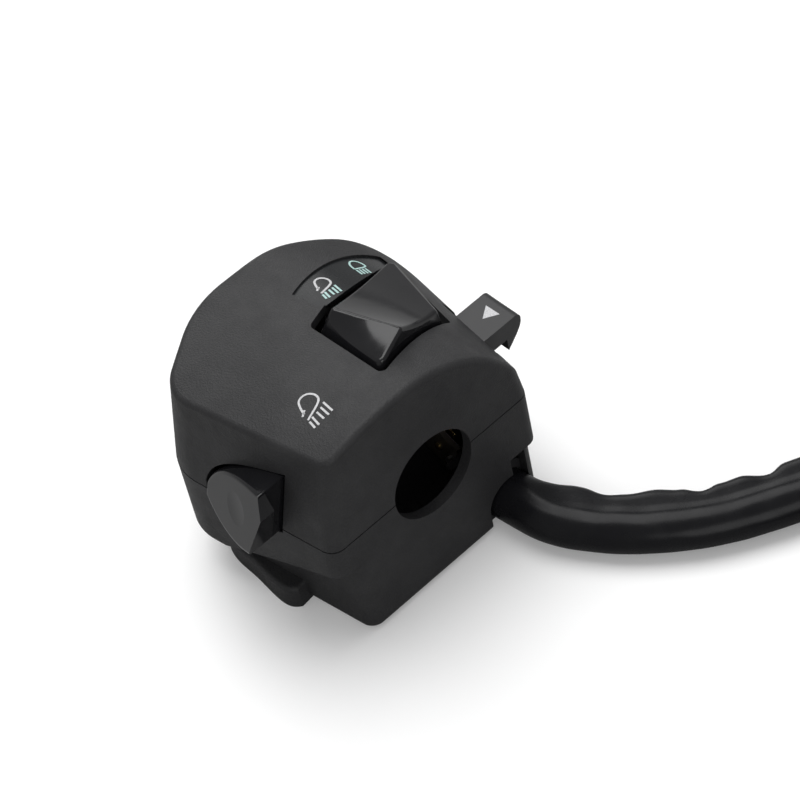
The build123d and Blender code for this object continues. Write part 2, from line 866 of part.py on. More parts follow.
with BuildPart() as rocker_limit:
    add(rocker_profile(profile_right, profile_right * rocker_front_left[1] / rocker_front_left[0],
                       rear_edge_right))
    add(rocker_profile(profile_left, profile_left * rocker_front_left[1] / rocker_front_left[0],
                       rear_edge_left))
    loft(ruled=True)

with BuildPart() as dimmer_rocker:
    add(rocker_solid.part)
    add(rocker_limit.part, mode=Mode.INTERSECT)
    high_edges = edges().filter_by(
        lambda edge: rocker_plane.to_local_coords(edge.center()).Z > rocker_proud_line
    )
    fillet(high_edges, radius=rocker_edge_radius)
    with BuildSketch(rocker_plane.offset(-rocker_skirt)):
        with BuildLine():
            Polyline(pocket_front_right, pocket_front_left, pocket_rear_left, pocket_rear_right,
                     close=True)
        make_face()
    extrude(amount=rocker_skirt + pocket_height, mode=Mode.SUBTRACT)
    add(rod(rocker_side.offset(hub_right), hinge_place, -hinge_drop, hub_radius,
            hub_right - hub_left))
    add(block(rocker_plane.offset(pocket_height + detail_edge), hub_left, hub_right,
              hinge_place - web_half, hinge_place + web_half,
              pocket_height + detail_edge + hinge_drop))
    add(rod(rocker_side.offset(lug_right_near), hinge_place, -hinge_drop,
            pin_radius + running_fit, lug_right_near - lug_left_near), mode=Mode.SUBTRACT)
    peg_top = pocket_height + detail_edge
    for side in (-contact_distance, contact_distance):
        add(block(rocker_plane.offset(peg_top), contact_place - hub_radius,
                  contact_place + hub_radius, hinge_place + side - hub_radius,
                  hinge_place + side + hub_radius, peg_top + rocker_skirt))
        add(rod(rocker_plane, contact_place, hinge_place + side, contact_radius + fixed_fit,
                contact_socket), mode=Mode.SUBTRACT)
keep(dimmer_rocker, "dimmer_rocker")

with BuildPart() as rocker_pin:
    add(rod(rocker_side.offset(lug_right_far), hinge_place, -hinge_drop, pin_radius,
            lug_right_far - lug_left_far))
keep(rocker_pin, "rocker_pin")

# Moving contacts: the rear one rests on its rivet, the front one comes down with the rocker
contact_low = -lug_reach + rivet_head_height + contact_gap
contact_lift = (contact_distance + contact_radius) * sin(radians(rocker_travel))
with BuildPart() as high_beam_contact:
    add(rod(rocker_plane, contact_place, hinge_place + contact_distance, contact_radius,
            -contact_low))
keep(high_beam_contact, "rocker_contact_rear")

with BuildPart() as low_beam_contact:
    add(rod(rocker_plane, contact_place, hinge_place - contact_distance, contact_radius,
            -contact_low - contact_lift))
keep(low_beam_contact, "rocker_contact_front")

# Dimmer contact plate under the rocker, screwed to the two lugs
plate_plane = rocker_plane.offset(-lug_reach - fixed_fit)
with BuildPart() as dimmer_plate:
    add(block(plate_plane, lug_left_far, lug_right_far, hinge_place - lug_half,
              hinge_place + lug_half, plate_thickness))
    add(block(plate_plane, contact_place - plate_half, contact_place + plate_half,
              dimmer_plate_front, dimmer_plate_rear, plate_thickness))
    for side in (-contact_distance, contact_distance):
        add(rod(plate_plane, contact_place, hinge_place + side, rivet_shank_radius + fixed_fit,
                plate_thickness), mode=Mode.SUBTRACT)
    for side in (lug_right_near + lug_right_far, lug_left_near + lug_left_far):
        add(rod(plate_plane, side / 2, screw_row, small_screw_radius + fixed_fit,
                plate_thickness), mode=Mode.SUBTRACT)
keep(dimmer_plate, "dimmer_plate")

for name, side in (("front", -contact_distance), ("rear", contact_distance)):
    with BuildPart() as dimmer_rivet:
        add(rod(rocker_plane.offset(rivet_head_height - lug_reach), contact_place,
                hinge_place + side, rivet_head_radius, rivet_head_height))
        add(rod(rocker_plane.offset(-lug_reach), contact_place, hinge_place + side,
                rivet_shank_radius, plate_thickness + rivet_tail))
    keep(dimmer_rivet, f"dimmer_rivet_{name}")

for name, side in (("right", lug_right_near + lug_right_far), ("left", lug_left_near + lug_left_far)):
    with BuildPart() as dimmer_screw:
        add(rod(rocker_plane.offset(small_screw_bite - lug_reach), side / 2, screw_row,
                small_screw_radius, small_screw_bite + plate_thickness + 2 * fixed_fit))
        add(rod(plate_plane.offset(-plate_thickness - fixed_fit), side / 2, screw_row,
                small_head_radius, small_head_height))
    keep(dimmer_screw, f"dimmer_screw_{name}")

# Turn switch tray with its two rails
tray_plane = Plane.XY.offset(fixed_fit)
with BuildPart() as turn_tray:
    add(block(tray_plane, tray_left, tray_right, tray_front, tray_rear, -tray_floor))
    add(block(tray_plane, tray_left, tray_right, tray_front, tray_front + rail_thickness, -rail_top))
    add(block(tray_plane, tray_left, tray_right, tray_rear - rail_thickness, tray_rear, -rail_top))
    ball_home = turn_x - ball_offset
    for step in (-turn_travel, 0, turn_travel):
        with Locations((ball_home + step, ball_y, fixed_fit + tray_floor + ball_radius - detent_depth)):
            Sphere(ball_radius, mode=Mode.SUBTRACT)
    for step in (-1, 0, 1):
        middle = turn_x + step * (turn_contact_half + turn_contact_space + turn_contact_length / 2)
        half = turn_contact_half if step == 0 else turn_contact_length / 2
        add(block(Plane.XY.offset(fixed_fit + tray_floor), middle - half - fixed_fit,
                  middle + half + fixed_fit, turn_contact_front - fixed_fit,
                  turn_contact_rear + fixed_fit, turn_contact_depth), mode=Mode.SUBTRACT)
    for side in (tray_screw_front, tray_screw_rear):
        add(rod(Plane.XY.offset(rail_top), tray_screw_x, side, small_screw_radius + fixed_fit,
                rail_top), mode=Mode.SUBTRACT)
keep(turn_tray, "turn_tray")

for name, step in (("right", -1), ("off", 0), ("left", 1)):
    with BuildPart() as turn_contact:
        middle = turn_x + step * (turn_contact_half + turn_contact_space + turn_contact_length / 2)
        half = turn_contact_half if step == 0 else turn_contact_length / 2
        add(block(Plane.XY.offset(fixed_fit + tray_floor), middle - half, middle + half,
                  turn_contact_front, turn_contact_rear, turn_contact_depth - fixed_fit))
    keep(turn_contact, f"turn_contact_{name}")

for name, side in (("front", tray_screw_front), ("rear", tray_screw_rear)):
    with BuildPart() as tray_screw:
        add(rod(Plane.XY.offset(2 * fixed_fit + tray_floor), tray_screw_x, side,
                small_screw_radius, tray_floor + tray_screw_bite))
        add(rod(Plane.XY.offset(2 * fixed_fit + tray_floor + small_head_height), tray_screw_x, side,
                small_head_radius, small_head_height))
    keep(tray_screw, f"tray_screw_{name}")

# Sliding carrier of the turn switch
carrier_low = fixed_fit + tray_floor + running_fit
carrier_front = tray_front + rail_thickness + running_fit
carrier_rear = tray_rear - rail_thickness - running_fit
with BuildPart() as turn_carrier:
    add(block(Plane.XY.offset(carrier_top), turn_x - carrier_half, turn_x + carrier_half,
              carrier_front, carrier_rear, carrier_top - carrier_low))
    fillet(turn_carrier.edges().group_by(Axis.Z)[-1], detail_edge)
    add(block(Plane.XY.offset(channel_high), turn_x - tongue_half - running_fit,
              turn_x + tongue_half + running_fit, channel_front, pad_outer,
              channel_high - channel_low), mode=Mode.SUBTRACT)
    add(rod(Plane.XZ.offset(-channel_front), turn_x, (channel_low + channel_high) / 2,
            lever_coil_radius + lever_wire_radius + running_fit,
            -spring_bore), mode=Mode.SUBTRACT)
    add(rod(Plane.XY.offset(carrier_top - rib_thickness), turn_x - ball_offset, ball_y,
            ball_radius + running_fit, carrier_top), mode=Mode.SUBTRACT)
    add(block(Plane.XY.offset(wiper_height + carrier_low), turn_x - wiper_half - fixed_fit,
              turn_x + wiper_half + fixed_fit, turn_contact_front + detail_edge - fixed_fit,
              turn_contact_rear - detail_edge + fixed_fit, wiper_height), mode=Mode.SUBTRACT)
keep(turn_carrier, "turn_carrier")

with BuildPart() as turn_wiper:
    add(block(Plane.XY.offset(wiper_height + carrier_low - fixed_fit), turn_x - wiper_half,
              turn_x + wiper_half, turn_contact_front + detail_edge,
              turn_contact_rear - detail_edge, wiper_height - contact_gap / 2))
keep(turn_wiper, "turn_wiper")

with BuildPart() as detent_ball:
    with Locations((turn_x - ball_offset, ball_y, carrier_low + ball_radius)):
        Sphere(ball_radius)
keep(detent_ball, "detent_ball")

ball_top = carrier_low + 2 * ball_radius
with BuildPart() as detent_spring:
    add(coil_spring(Plane(origin=(turn_x - ball_offset, ball_y, ball_top + detent_wire_radius)),
                    detent_coil_radius, detent_wire_radius,
                    carrier_top - rib_thickness - ball_top - 2 * detent_wire_radius, 4))
keep(detent_spring, "detent_spring")

# Push-to-cancel lever: tongue in the carrier, finger pad outside
with BuildPart() as turn_lever:
    with BuildSketch(Plane.YZ.offset(turn_x - pad_half)):
        with BuildLine():
            Polyline(
                (pad_inner, pad_low), (pad_heel, pad_low), (pad_heel, pad_tip_height),
            )
            Spline(
                (pad_heel, pad_tip_height), (pad_curl[0], pad_curl[1]),
                (pad_outer, pad_top - pad_nose_radius), tangents=((1, 1), (0, 1)),
            )
            TangentArc((pad_outer, pad_top - pad_nose_radius), (pad_outer - pad_nose_radius, pad_top),
                       tangent=(0, 1))
            Polyline((pad_outer - pad_nose_radius, pad_top), (pad_inner, pad_top),
                     (pad_inner, pad_low))
        make_face()
    extrude(amount=2 * pad_half)
    add(block(Plane.XY.offset(channel_high - running_fit), turn_x - tongue_half,
              turn_x + tongue_half, tongue_front, pad_inner + detail_edge,
              channel_high - channel_low - 2 * running_fit))
keep(turn_lever, "turn_lever")

with BuildPart() as cancel_spring:
    spring_back = channel_front - spring_bore + lever_wire_radius
    add(coil_spring(
        Plane(origin=(turn_x, spring_back, (channel_low + channel_high) / 2), z_dir=(0, 1, 0)),
        lever_coil_radius, lever_wire_radius,
        tongue_front - spring_back - lever_wire_radius - cancel_travel, cancel_spring_turns,
    ))
keep(cancel_spring, "cancel_spring")

# Passing trigger: dished face, flared edge, hub and striker peg
with BuildPart() as pass_trigger:
    with BuildSketch(Plane.XZ.offset(trigger_inner)):
        add(trigger_outline(0))
    extrude(amount=trigger_outer - trigger_inner)
    add(prism(
        ((trigger_right_top - detail_edge, trigger_top), (ridge_side, ridge_side_height),
         (trigger_right_low, trigger_tip_height), (striker_x, striker_z)),
        Plane.XZ.offset(trigger_outer), trigger_outer - ridge_inner,
    ))
    add(block(face_plane.offset(trigger_outer), -nose_reach, nose_reach, -nose_reach, nose_reach,
              trigger_outer), mode=Mode.SUBTRACT)
    dish = Vector(*trigger_face_middle) - face_normal * (trigger_dish_radius - trigger_dish_depth)
    with Locations(dish):
        Sphere(trigger_dish_radius, mode=Mode.SUBTRACT)
    outer_edges = edges().filter_by(
        lambda edge: -edge.center().Y > trigger_outer_line and edge.center().X < trigger_round_side
    )
    fillet(outer_edges, radius=trigger_edge_radius)
    add(rod(Plane.XY.offset(trigger_hub_top), trigger_pin_x, trigger_pin_y, trigger_hub_radius,
            trigger_hub_top - trigger_hub_low))
    add(rod(Plane.XY.offset(nose_reach), trigger_pin_x, trigger_pin_y, pin_radius + running_fit,
            2 * nose_reach), mode=Mode.SUBTRACT)
    add(rod(Plane.XY.offset(nose_reach), trigger_pin_x, trigger_pin_y, trigger_hub_radius,
            nose_reach - trigger_hub_top), mode=Mode.SUBTRACT)
    add(rod(Plane.XZ.offset(striker_reach), striker_x, striker_z, striker_radius,
            striker_reach - trigger_inner - detail_edge))
keep(pass_trigger, "pass_trigger")

with BuildPart() as trigger_pin:
    add(rod(Plane.XY.offset(trigger_lug_top), trigger_pin_x, trigger_pin_y, pin_radius,
            trigger_lug_top - trigger_lug_low))
keep(trigger_pin, "trigger_pin")

with BuildPart() as trigger_spring:
    spring_room = trigger_lug_bottom - trigger_hub_top - 2 * trigger_wire_radius
    add(coil_spring(
        Plane(origin=(trigger_pin_x, trigger_pin_y, trigger_hub_top + trigger_wire_radius)),
        trigger_coil_radius, trigger_wire_radius, spring_room - running_fit, 2,
    ))
keep(trigger_spring, "trigger_spring")

pass_plane = Plane.XZ.offset(pass_plate_face)
with BuildPart() as pass_plate:
    add(block(pass_plane, pass_plate_left, pass_plate_right, pass_plate_low, pass_plate_top,
              plate_thickness))
    add(rod(pass_plane, striker_x, striker_z, rivet_shank_radius + fixed_fit, plate_thickness),
        mode=Mode.SUBTRACT)
    add(rod(pass_plane, leaf_screw_x, striker_z, small_screw_radius + fixed_fit,
            plate_thickness), mode=Mode.SUBTRACT)
keep(pass_plate, "pass_plate")

with BuildPart() as pass_leaf:
    add(block(Plane.XZ.offset(leaf_face), leaf_left, leaf_right, striker_z - leaf_half_height,
              striker_z + leaf_half_height, leaf_thickness))
    add(block(Plane.XZ.offset(leaf_face), leaf_left, leaf_foot, striker_z - leaf_half_height,
              striker_z + leaf_half_height, leaf_face - pass_plate_face - fixed_fit))
    add(rod(Plane.XZ.offset(leaf_face), leaf_screw_x, striker_z,
            small_screw_radius + fixed_fit, leaf_face - pass_plate_face), mode=Mode.SUBTRACT)
keep(pass_leaf, "pass_leaf")

with BuildPart() as pass_rivet:
    add(rod(pass_plane.offset(fixed_fit + pass_rivet_length), striker_x, striker_z,
            rivet_head_radius, pass_rivet_length))
    add(rod(pass_plane.offset(fixed_fit), striker_x, striker_z, rivet_shank_radius,
            plate_thickness + rivet_tail))
keep(pass_rivet, "pass_rivet")

with BuildPart() as pass_screw:
    add(rod(Plane.XZ.offset(leaf_face + fixed_fit), leaf_screw_x, striker_z, small_screw_radius,
            leaf_face - pass_plate_face + plate_thickness + rivet_tail))
    add(rod(Plane.XZ.offset(leaf_face + fixed_fit + small_head_height), leaf_screw_x, striker_z,
            leaf_half_height, small_head_height))
keep(pass_screw, "pass_screw")

# Horn button with its flange and bored stem
spring_hole = horn_coil_radius + horn_wire_radius + running_fit
with BuildPart() as horn_button:
    with BuildSketch(horn_plane.offset(horn_rise)):
        add(cap_sketch(horn_half_width, horn_half_height, horn_corner))
    extrude(amount=-horn_rise - horn_flange_back - horn_flange)
    fillet(horn_button.faces().sort_by(Axis.Y)[-1].edges(), detail_edge)
    with BuildSketch(horn_plane.offset(-horn_flange_back)):
        add(cap_sketch(horn_half_width + horn_flange_room, horn_half_height + horn_flange_room,
                       horn_corner))
    extrude(amount=-horn_flange)
    add(rod(horn_plane.offset(-horn_flange_back), 0, 0, horn_stem_radius,
            horn_stem_reach - horn_flange_back))
    add(rod(horn_plane.offset(-horn_flange_back), 0, 0, spring_hole, horn_stem_reach),
        mode=Mode.SUBTRACT)
keep(horn_button, "horn_button")

with BuildPart() as horn_contact:
    add(block(horn_plane.offset(-horn_stem_reach - fixed_fit), -horn_contact_half,
              horn_contact_half, -horn_contact_half_height, horn_contact_half_height,
              horn_contact_thickness))
    add(rod(horn_plane, 0, 0, spring_hole, 2 * horn_stem_reach), mode=Mode.SUBTRACT)
keep(horn_contact, "horn_contact")

with BuildPart() as horn_spring:
    spring_low = horn_plate_face - horn_wire_radius - fixed_fit
    spring_high = horn_flange_back + horn_wire_radius + fixed_fit
    add(coil_spring(horn_plane.offset(-spring_low), horn_coil_radius, horn_wire_radius,
                    spring_low - spring_high - horn_travel, horn_spring_turns))
keep(horn_spring, "horn_spring")

horn_back = horn_plane.offset(-horn_plate_face - fixed_fit)
with BuildPart() as horn_plate:
    add(block(horn_back, -horn_plate_half_width, horn_plate_half_width, -horn_plate_half_height,
              horn_plate_half_height, plate_thickness))
    for side in (-horn_post_place, horn_post_place):
        add(rod(horn_back, side, 0, small_screw_radius + fixed_fit, plate_thickness),
            mode=Mode.SUBTRACT)
    for side in (-horn_rivet_place, horn_rivet_place):
        add(rod(horn_back, side, 0, rivet_shank_radius + fixed_fit, plate_thickness),
            mode=Mode.SUBTRACT)
keep(horn_plate, "horn_plate")

for name, side in (("outer", -horn_rivet_place), ("inner", horn_rivet_place)):
    with BuildPart() as horn_rivet:
        add(rod(horn_plane.offset(horn_rivet_height - horn_plate_face), side, 0,
                horn_rivet_radius, horn_rivet_height))
        add(rod(horn_plane.offset(-horn_plate_face), side, 0, rivet_shank_radius,
                plate_thickness + rivet_tail))
    keep(horn_rivet, f"horn_rivet_{name}")

for name, side in (("outer", -horn_post_place), ("inner", horn_post_place)):
    with BuildPart() as horn_screw:
        add(rod(horn_plane.offset(small_screw_bite - horn_plate_face), side, 0,
                small_screw_radius, small_screw_bite + plate_thickness + 2 * fixed_fit))
        add(rod(horn_back.offset(-plate_thickness - fixed_fit), side, 0,
                small_head_radius, small_head_height))
    keep(horn_screw, f"horn_screw_{name}")

# Screws and threaded inserts that pull the shells round the bar
for name, place in zip(("front", "nose", "rear"), screw_places()):
    with BuildPart() as clamp_screw:
        add(rod(Plane.XY.offset(screw_shank_length - boss_floor), place[0], place[1],
                screw_shank_radius, screw_shank_length))
        add(rod(Plane.XY.offset(-boss_floor), place[0], place[1], screw_head_radius,
                screw_head_height))
        with Locations((place[0], place[1], -boss_floor - screw_head_height)):
            Box(drive_length, drive_width, 2 * drive_depth, mode=Mode.SUBTRACT)
            Box(drive_width, drive_length, 2 * drive_depth, mode=Mode.SUBTRACT)
    keep(clamp_screw, f"clamp_screw_{name}")
    with BuildPart() as clamp_insert:
        add(rod(Plane.XY.offset(insert_length + fixed_fit), place[0], place[1], insert_radius,
                insert_length))
        add(rod(Plane.XY.offset(nose_reach), place[0], place[1],
                screw_shank_radius + fixed_fit, 2 * nose_reach), mode=Mode.SUBTRACT)
    keep(clamp_insert, f"clamp_insert_{name}")

# Rubber grommet in the cable exit
with BuildPart() as cable_grommet:
    add(block(Plane.XY.offset(-grommet_top), -grommet_back, -end_wall - fixed_fit,
              cable_y - exit_half + running_fit, cable_y + exit_half - running_fit,
              floor_depth - grommet_top - fixed_fit))
    fillet(cable_grommet.edges().filter_by(Axis.X).group_by(Axis.Z)[-1], grommet_corner)
    add(rod(Plane.YZ, cable_y, cable_exit_z, cable_radius + fixed_fit, -cable_start_x),
        mode=Mode.SUBTRACT)
    add(rod(Plane.YZ, cable_y, cable_exit_z, cable_radius - wall, nose_reach),
        mode=Mode.SUBTRACT)
keep(cable_grommet, "cable_grommet")

# Cable route: the free stretch seen in front, then one put-away turn to the plug
cable_start = (cable_start_x, cable_y, cable_exit_z)
route = (cable_start,) + stretch_points


def bend_radius(before, corner, after):
    """Radius of the arc that takes up nine tenths of the shorter half run at a corner."""
    way_in = Vector(*corner) - Vector(*before)
    way_out = Vector(*after) - Vector(*corner)
    half_turn = radians(way_in.get_angle(way_out)) / 2
    return bend_share * min(way_in.length, way_out.length) / tan(half_turn)


radii = [
    bend_radius(route[k - 1], route[k], route[k + 1]) for k in range(1, len(route) - 1)
]
print("bend radii", [round(value, 1) for value in radii])

with BuildPart() as cable_sleeve:
    with BuildLine() as stretch_path:
        FilletPolyline(*route, radius=radii)
    with BuildSketch(Plane(origin=cable_start, z_dir=stretch_path.wire() % 0)):
        Circle(cable_radius)
    sweep()
keep(cable_sleeve, "cable_sleeve")
cable_section = pi * cable_radius**2
stretch_length = stretch_path.wire().length
print("stretch volume over section times length",
      round(cable_sleeve.part.volume / (cable_section * stretch_length), 4))

coil_way = Vector(*stretch_points[-1]) - Vector(*stretch_points[-2])
coil_turn = degrees(atan2(coil_way.Y, coil_way.X))
with BuildPart() as cable_coil:
    with BuildLine() as coil_path:
        corner = Vector(*stretch_points[-1])
        for arc_radius, arc_sweep in coil_arcs:
            middle = corner + Vector(sin(radians(coil_turn)), -cos(radians(coil_turn))) * arc_radius
            turned = CenterArc(middle, arc_radius, coil_turn + quarter_turn, -arc_sweep)
            corner = turned @ 1
            coil_turn -= arc_sweep
        Line(corner, corner + (turned % 1) * coil_tail)
    with BuildSketch(Plane(origin=coil_path.wire() @ 0, z_dir=coil_path.wire() % 0)):
        Circle(cable_radius)
    sweep()
keep(cable_coil, "cable_coil")
coil_length = coil_path.wire().length
print("coil volume over section times length",
      round(cable_coil.part.volume / (cable_section * coil_length), 4))
coil_steps = [coil_path.wire() @ (step / gap_steps) for step in range(gap_steps + 1)]
coil_gap = min(
    (coil_steps[late] - coil_steps[early]).length
    for early in range(gap_steps)
    for late in range(early + gap_steps // 3, gap_steps + 1)
) - 2 * cable_radius
print("least gap of the coil to itself", round(coil_gap, 2))
print("cable length", round(stretch_length + coil_length, 1))

# Boot and plug at the end of the cable
plug_way = coil_path.wire() % 1
plug_plane = Plane(
    origin=coil_path.wire() @ 1, x_dir=(-plug_way.Y, plug_way.X, 0), z_dir=plug_way
)
with BuildPart() as plug_boot:
    with BuildSketch(plug_plane):
        RectangleRounded(2 * boot_half_width, 2 * plug_half_height, boot_corner)
    with BuildSketch(plug_plane.offset(boot_length)):
        RectangleRounded(2 * plug_half_width - 2 * plug_corner,
                         2 * plug_half_height - plug_corner, plug_corner)
    loft()
keep(plug_boot, "plug_boot")

with BuildPart() as harness_plug:
    with BuildSketch(plug_plane.offset(boot_length)):
        RectangleRounded(2 * plug_half_width, 2 * plug_half_height, plug_corner)
    extrude(amount=plug_length)
    with BuildSketch(plug_plane.offset(boot_length + plug_length)):
        RectangleRounded(2 * plug_half_width - 2 * plug_wall,
                         2 * plug_half_height - 2 * plug_wall, plug_corner)
    extrude(amount=-plug_mouth, mode=Mode.SUBTRACT)
    add(block(plug_plane.offset(boot_length + latch_length), -latch_half_width, latch_half_width,
              plug_half_height - detail_edge, plug_half_height + latch_height, latch_length / 2))
    with BuildSketch(plug_plane.offset(boot_length + plug_length - plug_mouth)):
        with GridLocations(terminal_pitch, terminal_row, 3, 2):
            Circle(terminal_radius + fixed_fit)
    extrude(amount=-terminal_root, mode=Mode.SUBTRACT)
keep(harness_plug, "harness_plug")

terminal_plane = plug_plane.offset(boot_length + plug_length - plug_mouth - terminal_root)
for row in (0, 1):
    for column in (-1, 0, 1):
        with BuildPart() as terminal:
            add(rod(terminal_plane.offset(terminal_root + terminal_length), column * terminal_pitch,
                    (row - 1 / 2) * terminal_row, terminal_radius,
                    terminal_root + terminal_length))
            fillet(terminal.edges().filter_by(GeomType.CIRCLE), terminal_tip)
        keep(terminal, f"plug_terminal_{3 * row + column + 2}")
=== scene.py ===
import bpy
import bmesh
import json
import math
from mathutils import Matrix, Vector, noise
from mathutils.bvhtree import BVHTree


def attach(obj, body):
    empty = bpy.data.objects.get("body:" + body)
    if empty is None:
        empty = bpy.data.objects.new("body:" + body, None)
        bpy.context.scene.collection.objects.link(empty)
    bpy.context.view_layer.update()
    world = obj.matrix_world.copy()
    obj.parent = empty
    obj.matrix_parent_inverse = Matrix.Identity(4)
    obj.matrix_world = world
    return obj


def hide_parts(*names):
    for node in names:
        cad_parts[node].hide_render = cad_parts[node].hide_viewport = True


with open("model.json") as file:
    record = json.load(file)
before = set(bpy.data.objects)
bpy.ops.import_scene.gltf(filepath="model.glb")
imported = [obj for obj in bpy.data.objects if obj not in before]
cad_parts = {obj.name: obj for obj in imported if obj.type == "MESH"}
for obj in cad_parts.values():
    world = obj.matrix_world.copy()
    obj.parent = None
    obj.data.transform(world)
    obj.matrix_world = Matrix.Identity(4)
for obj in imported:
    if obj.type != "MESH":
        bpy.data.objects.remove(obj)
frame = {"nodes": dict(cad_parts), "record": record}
nodes = frame["nodes"]


def writeSize():
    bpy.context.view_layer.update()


writeSize()

# Camera at the photograph's angle, rolled because the real cluster leans on its cable
camera = {
    "place": (0.3714, -0.2460, 0.5402),
    "right": (0.6788, 0.7182, -0.1528),
    "up": (-0.4882, 0.5969, 0.6367),
    "back": (0.5485, -0.3576, 0.7559),
    "lens": 148.4,
    "sensor": 36.0,
    "near": 0.01,
}


def makeCamera(c):
    data = bpy.data.cameras.new("photoCamera")
    data.lens = c["lens"]
    data.sensor_width = c["sensor"]
    data.clip_start = c["near"]
    body = bpy.data.objects.new("photoCamera", data)
    bpy.context.scene.collection.objects.link(body)
    turn = Matrix((c["right"], c["up"], c["back"])).transposed()
    body.matrix_world = Matrix.Translation(c["place"]) @ turn.to_4x4()
    bpy.context.scene.camera = body


makeCamera(camera)
print("camera set")


# Material helpers: every finish is made of nodes, in object metres
noiseRange = (0.3, 0.7)
tintRange = (0.32, 0.68)
noiseDetail = 3.0
noiseRoughness = 0.55


def startFinish(name):
    mat = bpy.data.materials.new(name)
    mat.use_nodes = True
    tree = mat.node_tree
    shader = tree.nodes["Principled BSDF"]
    place = tree.nodes.new("ShaderNodeTexCoord")
    return mat, tree, shader, place.outputs["Object"]


def addNoise(tree, place, scale, detail=noiseDetail, rough=noiseRoughness):
    cloud = tree.nodes.new("ShaderNodeTexNoise")
    cloud.inputs["Scale"].default_value = scale
    cloud.inputs["Detail"].default_value = detail
    cloud.inputs["Roughness"].default_value = rough
    tree.links.new(place, cloud.inputs["Vector"])
    return cloud.outputs["Fac"]


def addSpan(tree, value, low, high):
    span = tree.nodes.new("ShaderNodeMapRange")
    span.inputs["From Min"].default_value = noiseRange[0]
    span.inputs["From Max"].default_value = noiseRange[1]
    span.inputs["To Min"].default_value = low
    span.inputs["To Max"].default_value = high
    tree.links.new(value, span.inputs["Value"])
    return span.outputs["Result"]


def addTint(tree, value, first, second):
    ramp = tree.nodes.new("ShaderNodeValToRGB")
    for stop, position, tint in zip(ramp.color_ramp.elements, tintRange, (first, second)):
        stop.position = position
        stop.color = (*tint, 1)
    tree.links.new(value, ramp.inputs["Fac"])
    return ramp.outputs["Color"]


def addBump(tree, shader, value, strength, distance):
    bump = tree.nodes.new("ShaderNodeBump")
    bump.inputs["Strength"].default_value = strength
    bump.inputs["Distance"].default_value = distance
    tree.links.new(value, bump.inputs["Height"])
    tree.links.new(bump.outputs["Normal"], shader.inputs["Normal"])


# Moulded plastics: two tints, patchy roughness, and the grain of the mould
plastics = {
    "black_housing": {
        "dark": (0.017, 0.017, 0.018), "light": (0.024, 0.024, 0.025),
        "rough": (0.46, 0.56), "shine": 0.27, "grain": 2300, "grainDepth": 0.00020, "bump": 0.80,
    },
    "gloss_black": {
        "dark": (0.006, 0.006, 0.007), "light": (0.009, 0.009, 0.010),
        "rough": (0.10, 0.16), "shine": 0.32, "grain": 700, "grainDepth": 0.00002, "bump": 0.05,
    },
    "satin_black": {
        "dark": (0.015, 0.015, 0.016), "light": (0.020, 0.020, 0.021),
        "rough": (0.34, 0.42), "shine": 0.38, "grain": 2400, "grainDepth": 0.00003, "bump": 0.12,
    },
    "window_black": {
        "dark": (0.008, 0.009, 0.010), "light": (0.012, 0.013, 0.014),
        "rough": (0.24, 0.32), "shine": 0.25, "grain": 900, "grainDepth": 0.00002, "bump": 0.04,
    },
    "plug_black": {
        "dark": (0.020, 0.020, 0.021), "light": (0.028, 0.028, 0.029),
        "rough": (0.38, 0.48), "shine": 0.40, "grain": 1900, "grainDepth": 0.00004, "bump": 0.15,
    },
    "carrier_white": {
        "dark": (0.62, 0.61, 0.56), "light": (0.70, 0.69, 0.65),
        "rough": (0.34, 0.44), "shine": 0.50, "grain": 1500, "grainDepth": 0.00003, "bump": 0.10,
    },
    "rubber": {
        "dark": (0.014, 0.014, 0.015), "light": (0.021, 0.021, 0.022),
        "rough": (0.55, 0.68), "shine": 0.30, "grain": 1200, "grainDepth": 0.00006, "bump": 0.25,
    },
    "sleeve_black": {
        "dark": (0.004, 0.004, 0.005), "light": (0.007, 0.007, 0.008),
        "rough": (0.22, 0.30), "shine": 0.14, "grain": 1100, "grainDepth": 0.00006, "bump": 0.12,
    },
}
plasticNoise = {"patches": 90.0, "wear": 240.0, "wearDetail": 4.0, "grainDetail": 2.0,
                "grainRoughness": 0.7}


def makePlastic(name, p):
    mat, tree, shader, place = startFinish(name)
    patches = addNoise(tree, place, plasticNoise["patches"])
    tree.links.new(addTint(tree, patches, p["dark"], p["light"]), shader.inputs["Base Color"])
    wear = addNoise(tree, place, plasticNoise["wear"], plasticNoise["wearDetail"])
    tree.links.new(addSpan(tree, wear, *p["rough"]), shader.inputs["Roughness"])
    shader.inputs["Specular IOR Level"].default_value = p["shine"]
    grain = addNoise(tree, place, p["grain"], plasticNoise["grainDetail"],
                     plasticNoise["grainRoughness"])
    addBump(tree, shader, grain, p["bump"], p["grainDepth"])
    return mat


# Metals: plated or bright, with fine drawn lines and a few duller spots
metals = {
    "zinc_steel": {"dark": (0.50, 0.51, 0.53), "light": (0.63, 0.63, 0.62), "rough": (0.26, 0.42),
                   "lines": (500, 500, 2600)},
    "spring_steel": {"dark": (0.42, 0.42, 0.43), "light": (0.56, 0.56, 0.57), "rough": (0.22, 0.34),
                     "lines": (1400, 1400, 1400)},
    "brass": {"dark": (0.62, 0.44, 0.18), "light": (0.78, 0.60, 0.28), "rough": (0.24, 0.40),
              "lines": (2200, 400, 400)},
}
metalNoise = {"spots": 420.0, "spotDetail": 4.0, "lineScale": 1.0, "lineDetail": 2.0,
              "lineStrength": 0.15, "lineDepth": 0.00002}


